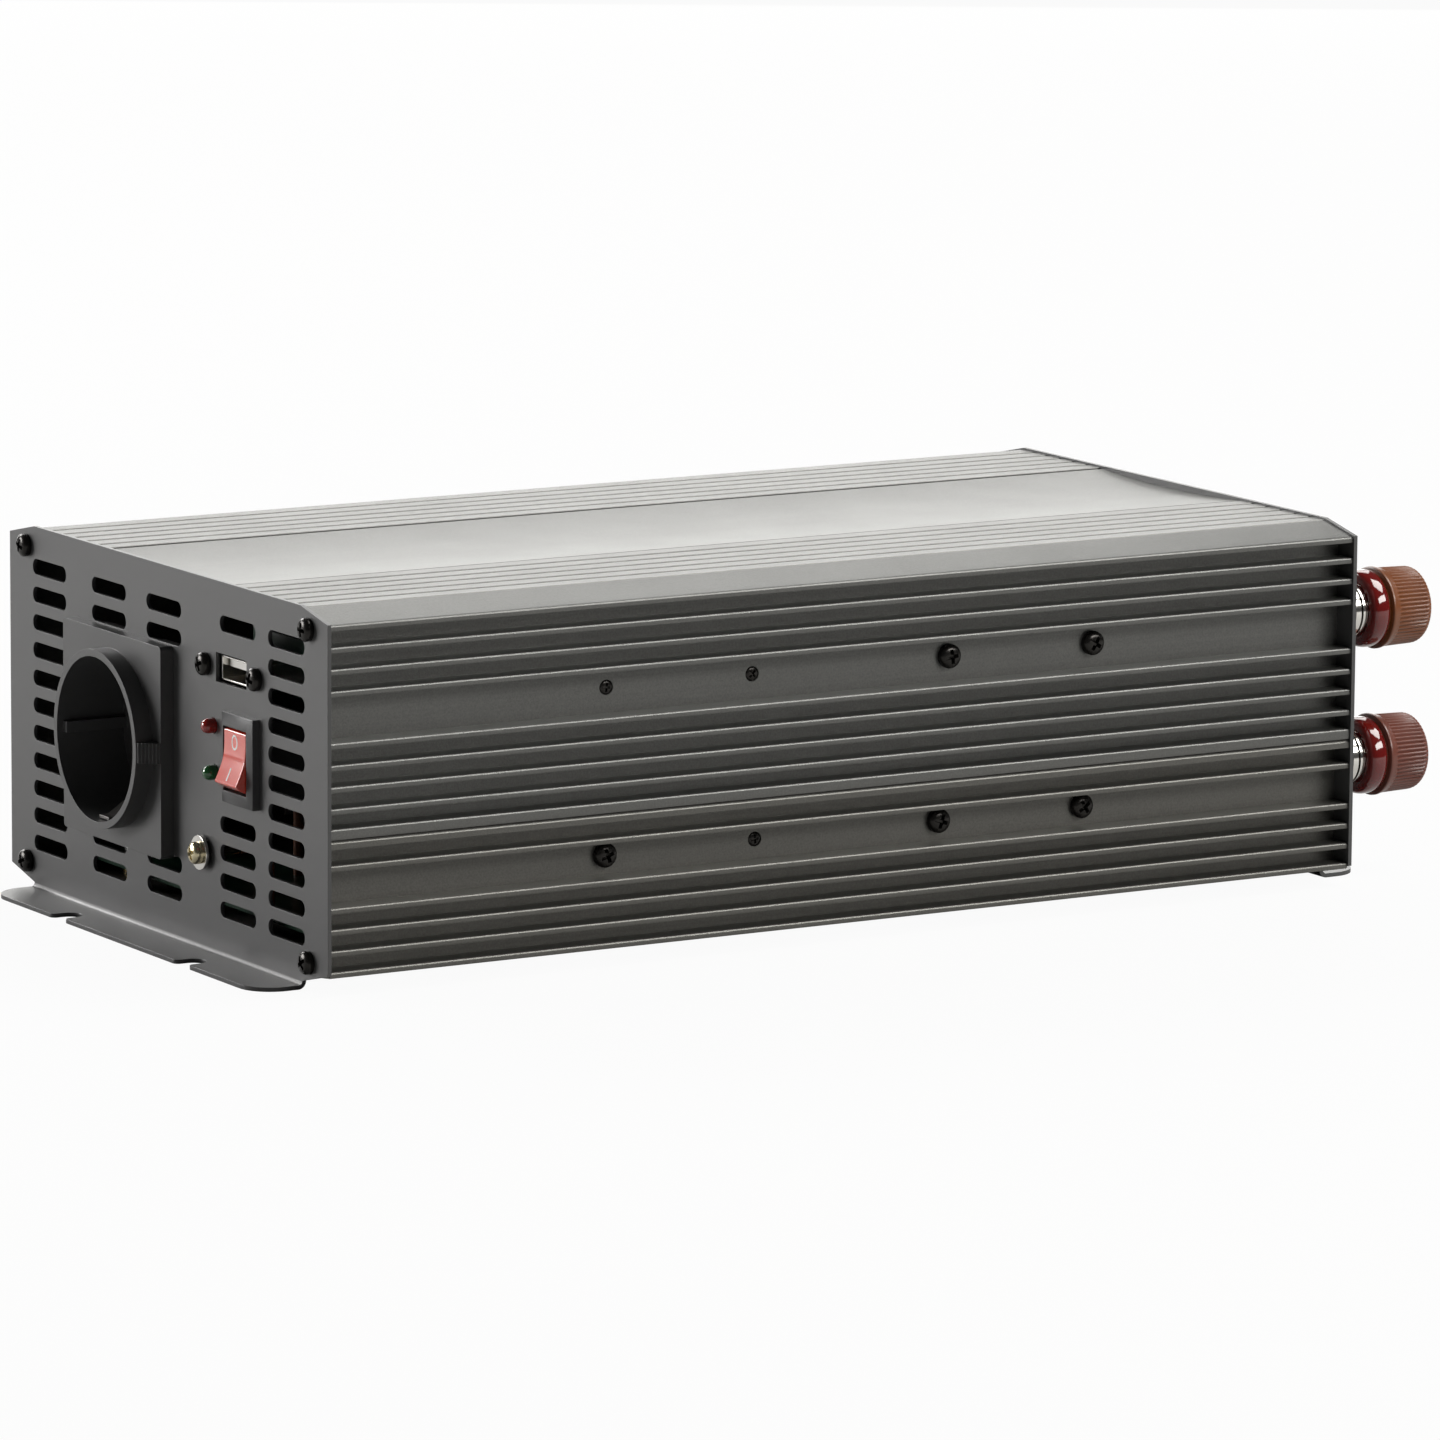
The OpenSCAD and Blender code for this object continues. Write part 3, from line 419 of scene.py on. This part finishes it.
finishLooks = {
    "caseUpper": {
        "name": "anodisedUpper", "color": (0.14, 0.14, 0.134),
        "rough": 0.34, "metal": 0.6, "drift": 0.02, "grain": 0.16, "grainSize": 2200, "bump": 0.5,
        "dieLines": 0.10,
    },
    "caseLower": {
        "name": "anodisedLower", "color": (0.135, 0.132, 0.122),
        "rough": 0.34, "metal": 0.6, "drift": 0.02, "grain": 0.16, "grainSize": 2200, "bump": 0.5,
        "dieLines": 0.12,
    },
    "panel": {
        "name": "panelPaint", "color": (0.058, 0.058, 0.059),
        "rough": 0.4, "drift": 0.015, "grain": 0.03, "grainSize": 3200, "bump": 0.2, "coat": 0.35,
        "coatRough": 0.3,
    },
    "blackScrew": {
        "name": "blackenedSteel", "color": (0.03, 0.028, 0.026),
        "rough": 0.24, "metal": 0.75, "drift": 0.06, "driftSize": 300, "grain": 0.06,
    },
    "zincSteel": {
        "name": "zincSteel", "color": (0.62, 0.62, 0.60),
        "rough": 0.3, "metal": 1.0, "drift": 0.05, "driftSize": 200, "grain": 0.05,
    },
    "giltSteel": {
        "name": "yellowZinc", "color": (0.74, 0.66, 0.45),
        "rough": 0.25, "metal": 1.0, "drift": 0.06, "driftSize": 300,
    },
    "brass": {
        "name": "brass", "color": (0.72, 0.54, 0.26),
        "rough": 0.3, "metal": 1.0, "drift": 0.05, "driftSize": 150,
    },
    "copper": {
        "name": "copper", "color": (0.72, 0.36, 0.20),
        "rough": 0.32, "metal": 1.0, "drift": 0.06, "driftSize": 120,
    },
    "nickel": {
        "name": "nickelPlate", "color": (0.82, 0.80, 0.76),
        "rough": 0.14, "metal": 1.0, "drift": 0.02, "driftSize": 200, "grain": 0.01,
    },
    "socketPlastic": {
        "name": "socketPlastic", "color": (0.06, 0.06, 0.061),
        "rough": 0.36, "drift": 0.03, "grain": 0.04, "grainSize": 2600, "bump": 0.3, "coat": 0.2,
        "coatRough": 0.25,
    },
    "switchPlastic": {
        "name": "switchPlastic", "color": (0.05, 0.05, 0.052),
        "rough": 0.3, "drift": 0.03, "grain": 0.03, "grainSize": 3000, "bump": 0.2,
    },
    "rockerRed": {
        "name": "rockerRed", "color": (0.76, 0.055, 0.025),
        "rough": 0.25, "coatIor": 2.1, "drift": 0.03, "grain": 0.01, "coat": 1.0, "coatRough": 0.1,
    },
    "whiteInk": {
        "name": "whiteInk", "color": (0.9, 0.88, 0.86),
        "rough": 0.45, "drift": 0.02,
    },
    "clipSteel": {
        "name": "clipSteel", "color": (0.12, 0.115, 0.11),
        "rough": 0.35, "metal": 0.8, "drift": 0.04,
    },
    # dark steel for the ground nut: a dark nut, darkened further as painted shade under the ground washer
    "darkSteelPaintedShade": {
        "name": "darkSteelPaintedShade", "color": (0.06, 0.058, 0.055),
        "rough": 0.3, "metal": 0.8, "drift": 0.05, "driftSize": 200,
    },
    "lampRed": {
        "name": "redLens", "color": (0.36, 0.012, 0.006),
        "rough": 0.06, "clear": 0.25, "coat": 0.8, "coatRough": 0.04, "drift": 0.02,
    },
    "lampGreen": {
        "name": "greenLens", "color": (0.015, 0.13, 0.03),
        "rough": 0.06, "clear": 0.25, "coat": 0.8, "coatRough": 0.04, "drift": 0.02,
    },
    "capUpper": {
        "name": "capPlasticUpper", "color": (0.165, 0.048, 0.012),
        "rough": 0.34, "drift": 0.05, "driftSize": 120, "grain": 0.03, "coat": 0.3,
        "coatRough": 0.3,
    },
    "capLower": {
        "name": "capPlasticLower", "color": (0.13, 0.034, 0.02),
        "rough": 0.34, "drift": 0.05, "driftSize": 120, "grain": 0.03, "coat": 0.3,
        "coatRough": 0.3,
    },
    "capGloss": {
        "name": "capGloss", "color": (0.13, 0.006, 0.005),
        "rough": 0.1, "drift": 0.03, "driftSize": 120, "grain": 0.01, "coat": 0.9,
        "coatRough": 0.04,
    },
    "circuitBoard": {
        "name": "circuitBoard", "color": (0.010, 0.045, 0.024),
        "rough": 0.35, "drift": 0.08, "driftSize": 250, "grain": 0.1, "grainSize": 900, "coat": 0.3,
        "coatRough": 0.2,
    },
    "pad": {
        "name": "insulatorPad", "color": (0.62, 0.60, 0.55),
        "rough": 0.7, "drift": 0.04,
    },
    "bar": {
        "name": "plainAluminium", "color": (0.72, 0.72, 0.71),
        "rough": 0.33, "metal": 1.0, "drift": 0.03, "dieLines": 0.2, "bump": 0.2,
    },
    "chip": {
        "name": "epoxyBody", "color": (0.025, 0.025, 0.027),
        "rough": 0.5, "drift": 0.04, "grain": 0.05, "bump": 0.2,
    },
    "wire": {
        "name": "wireInsulation", "color": (0.25, 0.09, 0.04),
        "rough": 0.4, "drift": 0.04,
    },
    "palePlastic": {
        "name": "palePlastic", "color": (0.82, 0.80, 0.76),
        "rough": 0.35, "drift": 0.02,
    },
    "ferrite": {
        "name": "ferrite", "color": (0.05, 0.05, 0.055),
        "rough": 0.55, "metal": 0.2, "drift": 0.08, "driftSize": 200, "grain": 0.1, "bump": 0.4,
    },
    "tape": {
        "name": "windingTape", "color": (0.72, 0.47, 0.06),
        "rough": 0.35, "drift": 0.08, "driftSize": 90, "coat": 0.3, "coatRough": 0.2,
    },
    "sleeve": {
        "name": "capacitorSleeve", "color": (0.02, 0.03, 0.07),
        "rough": 0.25, "drift": 0.03, "coat": 0.3,
    },
    "coreYellow": {
        "name": "coreCoating", "color": (0.75, 0.60, 0.06),
        "rough": 0.4, "drift": 0.06, "driftSize": 200, "grain": 0.06, "bump": 0.2,
    },
    "fuseOrange": {
        "name": "fusePlastic", "color": (0.78, 0.24, 0.02),
        "rough": 0.2, "drift": 0.03, "coat": 0.3,
    },
    "fanPlastic": {
        "name": "fanPlastic", "color": (0.03, 0.03, 0.031),
        "rough": 0.42, "drift": 0.04, "grain": 0.04, "bump": 0.25,
    },
}
finishes = {key: makeMaterial(**look) for key, look in finishLooks.items()}

# CAD nodes whose shape is right: finish, edge rounding in mm
dressed = {
    "upper_shell": ("caseUpper", 0.25), "lower_shell": ("caseLower", 0.25),
    "front_panel": ("panel", 0.38), "rear_panel": ("panel", 0.38),
    "side_nuts": ("zincSteel", 0.15), "insulator_pads": ("pad", 0), "transistor_bodies": ("chip", 0.2),
    "transistor_tabs": ("zincSteel", 0.08), "heat_bars": ("bar", 0.3), "rectifier_board": ("circuitBoard", 0.1),
    "control_board": ("circuitBoard", 0.1), "control_chips": ("chip", 0.15),
    "socket_frame": ("socketPlastic", 0.25), "socket_clamp": ("socketPlastic", 0.3),
    "socket_contacts": ("brass", 0.15), "earth_clips": ("clipSteel", 0.12), "ac_leads": ("wire", 0),
    "usb_shell": ("nickel", 0.1), "usb_tongue": ("palePlastic", 0.1), "usb_contacts": ("giltSteel", 0.04),
    "front_board": ("circuitBoard", 0.1), "usb_spacers": ("zincSteel", 0.15),
    "led_red": ("lampRed", 0), "led_green": ("lampGreen", 0), "led_leads": ("zincSteel", 0),
    "rocker_housing": ("switchPlastic", 0.2), "rocker": ("rockerRed", 0.3), "rocker_tabs": ("brass", 0.1),
    # the ground nuts' dark finish is partly painted shade beneath the ground washer
    "ground_washer": ("nickel", 0.12), "ground_nuts": ("darkSteelPaintedShade", 0.12),
    "main_board": ("circuitBoard", 0.15), "board_standoffs": ("brass", 0.15),
    "transformer_cores": ("ferrite", 0.3), "transformer_windings": ("tape", 0.6), "dc_capacitors": ("sleeve", 0.6),
    "bus_capacitors": ("sleeve", 0.8), "choke_core": ("coreYellow", 0.8), "choke_winding": ("copper", 0.3),
    "blade_fuses": ("fuseOrange", 0.4), "buzzer": ("chip", 0.3), "bus_straps": ("copper", 0.25),
    "fan_frame": ("fanPlastic", 0.4), "fan_rotor": ("fanPlastic", 0.25), "fan_screws": ("zincSteel", 0.3),
    "fan_guard": ("nickel", 0), "terminal_bushes": ("fanPlastic", 0.3), "terminal_studs": ("brass", 0.3),
    "terminal_nuts": ("nickel", 0.3), "upper_insert": ("nickel", 0.12), "lower_insert": ("nickel", 0.12),
}


def dressNodes():
    for name, (finish, edge) in dressed.items():
        node = nodes[name]
        node.data.materials.clear()
        node.data.materials.append(finishes[finish])
        if edge:
            addBevel(node, edge * mm)


dressNodes()
print("CAD nodes dressed:", len(dressed))

# cross and rim as shares of the head's radius and height, turns in radians
screwLook = {
    "crossWidth": 0.36, "crossReach": 0.68, "crossDepth": 0.6, "crossTaper": 0.55, "rim": 0.45,
    "roundSteps": 7, "headSteps": 40, "shankSteps": 16, "shankShare": 0.54, "firstTurn": 0.35, "nextTurn": 0.9,
}


def crossHead(radius, height):
    # pan head with a tapered cross recess, outer face up
    bm = bmesh.new()
    rim = height * screwLook["rim"]
    profile = [(radius * 0.98, 0), (radius, height * 0.06), (radius, rim)]
    steps = screwLook["roundSteps"]
    for i in range(1, steps + 1):
        a = math.pi / 2 * i / steps
        profile.append((radius * math.cos(a) ** 0.8 if i < steps else 0, rim + (height - rim) * math.sin(a)))
    turned(bm, [(0, 0)] + profile, screwLook["headSteps"], Matrix())
    head = newPiece("headBlank", bm)
    bm = bmesh.new()
    wide, reach = radius * screwLook["crossWidth"] / 2, radius * screwLook["crossReach"]
    top, bottom = height * 1.1, height * (1 - screwLook["crossDepth"])
    outline = []
    for k in range(4):
        turn = Matrix.Rotation(math.pi / 2 * k, 2)
        outline += [turn @ Vector((reach, -wide)), turn @ Vector((reach, wide)), turn @ Vector((wide, wide))]
    upper = [bm.verts.new((p.x, p.y, top)) for p in outline]
    taper = screwLook["crossTaper"]
    lower = [bm.verts.new((p.x * taper, p.y * taper, bottom)) for p in outline]
    bm.faces.new(upper)
    bm.faces.new(lower[::-1])
    count = len(outline)
    for i in range(count):
        j = (i + 1) % count
        bm.faces.new((upper[i], lower[i], lower[j], upper[j]))
    bmesh.ops.recalc_face_normals(bm, faces=bm.faces)
    cutter = newPiece("crossCutter", bm)
    cut = head.modifiers.new("cross", "BOOLEAN")
    cut.object = cutter
    cut.operation = "DIFFERENCE"
    cut.solver = "EXACT"
    made = bpy.data.meshes.new_from_object(head.evaluated_get(bpy.context.evaluated_depsgraph_get()))
    for spare in (head, cutter):
        bpy.data.objects.remove(spare)
    return made


def makeScrews(name, node, axis, side, headRadius, headHeight, finish):
    # axis is 0, 1 or 2, and side is the way the heads face, or None for away from the middle
    head = crossHead(headRadius * mm, headHeight * mm)
    bm = bmesh.new()
    for index, (low, high) in enumerate(solidsOf(node)):
        centre = (low + high) / 2
        sign = side or (1 if centre[axis] > 0 else -1)
        direction = Vector((0, 0, 0))
        direction[axis] = sign
        seat = centre.copy()
        seat[axis] = (high[axis] if sign > 0 else low[axis]) - sign * headHeight * mm
        length = high[axis] - low[axis] - headHeight * mm
        across = min(high[k] - low[k] for k in range(3) if k != axis) / 2
        place = facing(direction, seat, spin=screwLook["nextTurn"] * index + screwLook["firstTurn"])
        part = head.copy()
        part.transform(place)
        bm.from_mesh(part)
        bpy.data.meshes.remove(part)
        shank = min(across, headRadius * mm * screwLook["shankShare"])
        sunk = 0.02 * mm
        profile = [(0, -length), (shank * 0.8, -length), (shank, shank * 0.3 - length), (shank, sunk), (0, sunk)]
        turned(bm, profile, screwLook["shankSteps"], place)
    bpy.data.meshes.remove(head)
    piece = newPiece(name, bm)
    return take(piece, "case", node, finish=finishes[finish], degrees=38)


screwSets = [
    # name, CAD node, axis, side, head radius and height in mm, finish
    ("frontScrews", "front_screws", 1, -1, 2.75, 2.2, "blackScrew"),
    ("rearScrews", "rear_screws", 1, 1, 2.75, 2.2, "blackScrew"),
    ("usbScrews", "usb_screws", 1, -1, 2.75, 2.2, "blackScrew"),
    ("groundScrew", "ground_screw", 1, -1, 2.6, 2.2, "giltSteel"),
    ("sideScrewsPan", "side_screws_pan", 0, None, 2.9, 2.2, "blackScrew"),
    ("sideScrewsFlush", "side_screws_flush", 0, None, 1.75, 1.0, "blackScrew"),
    ("boardScrews", "board_screws", 2, 1, 2.75, 2.2, "zincSteel"),
]
for screwSet in screwSets:
    makeScrews(*screwSet)
print("screws made")

capLook = {
    "ribs": 56, "stepsPerRib": 6, "ribDepth": 0.5, "ribPower": 1.4,
    "mouth": 5.55, "boreEnd": 4.5, "endRound": 1.9, "endSteps": 6,
    # radius and distance from the mouth face in mm
    "bowl": [
        (7.3, 0), (8.2, 0.15), (8.9, 0.6), (9.25, 1.3), (9.4, 2.2), (9.42, 3.2), (9.38, 4.3), (9.2, 4.5),
    ],
    "groove": [(8.8, 4.6), (8.75, 5.1), (9.1, 5.25)],
}


def capRows(wide, length):
    # rows of radius, distance from the mouth face, share of the rib depth and gloss, in mm
    full = wide - 0.3
    mouth, bend = capLook["mouth"], capLook["endRound"]
    rows = [(0, length - capLook["boreEnd"], 0, 1), (mouth, length - capLook["boreEnd"], 0, 1)]
    rows += [(mouth, 0.25, 0, 1), (mouth + 0.25, 0, 0, 1)]
    rows += [(radius, along, 0, 1) for radius, along in capLook["bowl"]]
    rows += [(radius, along, 0, 0) for radius, along in capLook["groove"]]
    rows += [(wide - 0.1, 5.35, 0, 0), (wide, 5.5, 0, 0), (wide, 6.0, 0, 0), (full, 6.6, 0, 0)]
    rows += [(full, 7.3, 0, 0), (full - 0.05, 7.5, 0.2, 0), (full - 0.08, 7.8, 1, 0)]
    last = full - 0.3
    rows.append((last, length - bend, 1, 0))
    count = capLook["endSteps"]
    for i in range(1, count + 1):
        a = math.pi / 2 * i / count
        fade = max(0, 1 - i / 3.5)
        rows.append((last - bend + bend * math.cos(a), length - bend + bend * math.sin(a), fade, 0))
    inner = length - 0.35
    return rows + [(last - bend - 0.8, length, 0, 0), (5.2, length, 0, 0), (4.9, inner, 0, 0), (0, inner, 0, 0)]


def makeCap(name, node, body, finish):
    low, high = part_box(node)
    axis = (low + high) / 2
    steps = capLook["ribs"] * capLook["stepsPerRib"]
    rows = capRows((high.x - low.x) / 2 / mm, (high.y - low.y) / mm)
    bm = bmesh.new()
    rings = []
    for radius, along, rib, gloss in rows:
        ring = []
        for i in range(steps if radius else 1):
            a = 2 * math.pi * i / steps
            wave = 0.5 - 0.5 * math.cos(a * capLook["ribs"])
            r = (radius - rib * capLook["ribDepth"] * wave ** capLook["ribPower"]) * mm
            ring.append(bm.verts.new((axis.x + r * math.cos(a), low.y + along * mm, axis.z + r * math.sin(a))))
        rings.append(ring)
    for k, (one, two) in enumerate(zip(rings, rings[1:])):
        for face in joinRings(bm, one, two, steps):
            face.material_index = rows[k + 1][3]
    bmesh.ops.recalc_face_normals(bm, faces=bm.faces)
    piece = newPiece(name, bm)
    piece.data.materials.append(finish)
    piece.data.materials.append(finishes["capGloss"])
    return take(piece, body, node, degrees=50)


makeCap("upperPostCap", "upper_cap", "upper_post_cap", finishes["capUpper"])
makeCap("lowerPostCap", "lower_cap", "lower_post_cap", finishes["capLower"])
print("post caps made")

# all in mm, except lean, which is the slope of the hollow face
markLook = {
    "line": 0.44, "lift": 0.04, "sunk": 0.03, "ring": (1.2, 1.55), "ringSteps": 40,
    "bar": 1.55, "barSteps": 6, "along": 3.7, "face": 2.8, "lean": 0.27, "hollow": 3.0,
}


def makeMarks():
    joint = next(j for j in frame["joints"] if j["name"] == "switch_rock")
    pivot = Vector(joint["pos_m"])
    rest = Matrix.Rotation(-math.radians(joint["range_deg"][1]) / 2, 4, "X")
    soft, half, along = markLook["hollow"], markLook["line"] / 2, markLook["along"]
    sunk, lift = -markLook["sunk"], markLook["lift"]
    bm = bmesh.new()

    def onFace(u, v, raised):
        # a point on the hollowed face at height v, raised from it
        out = markLook["face"] + markLook["lean"] * (math.hypot(v, soft) - soft)
        return bm.verts.new(pivot + rest @ Vector((u, -out - raised, v)) * mm)

    wide, tall = markLook["ring"]
    turns = [2 * math.pi * i / markLook["ringSteps"] for i in range(markLook["ringSteps"])]
    rings = []
    for grow, raised in ((-half, sunk), (-half, lift), (half, lift), (half, sunk)):
        outline = [((wide + grow) * math.cos(a), along + (tall + grow) * math.sin(a)) for a in turns]
        rings.append([onFace(u, v, raised) for u, v in outline])
    for one, two in zip(rings, rings[1:] + rings[:1]):
        joinRings(bm, one, two, len(turns))

    reach, count = markLook["bar"], markLook["barSteps"]
    corners = [(-half, sunk), (-half, lift), (half, lift), (half, sunk)]
    heights = [-along - reach + 2 * reach * i / count for i in range(count + 1)]
    sections = [[onFace(u, v, raised) for u, raised in corners] for v in heights]
    for one, two in zip(sections, sections[1:]):
        joinRings(bm, one, two, len(corners))
    bm.faces.new(sections[0])
    bm.faces.new(sections[-1])
    bmesh.ops.recalc_face_normals(bm, faces=bm.faces)
    piece = newPiece("switchMarks", bm)
    return take(piece, "rocker", finish=finishes["whiteInk"])


makeMarks()
print("switch marks made")
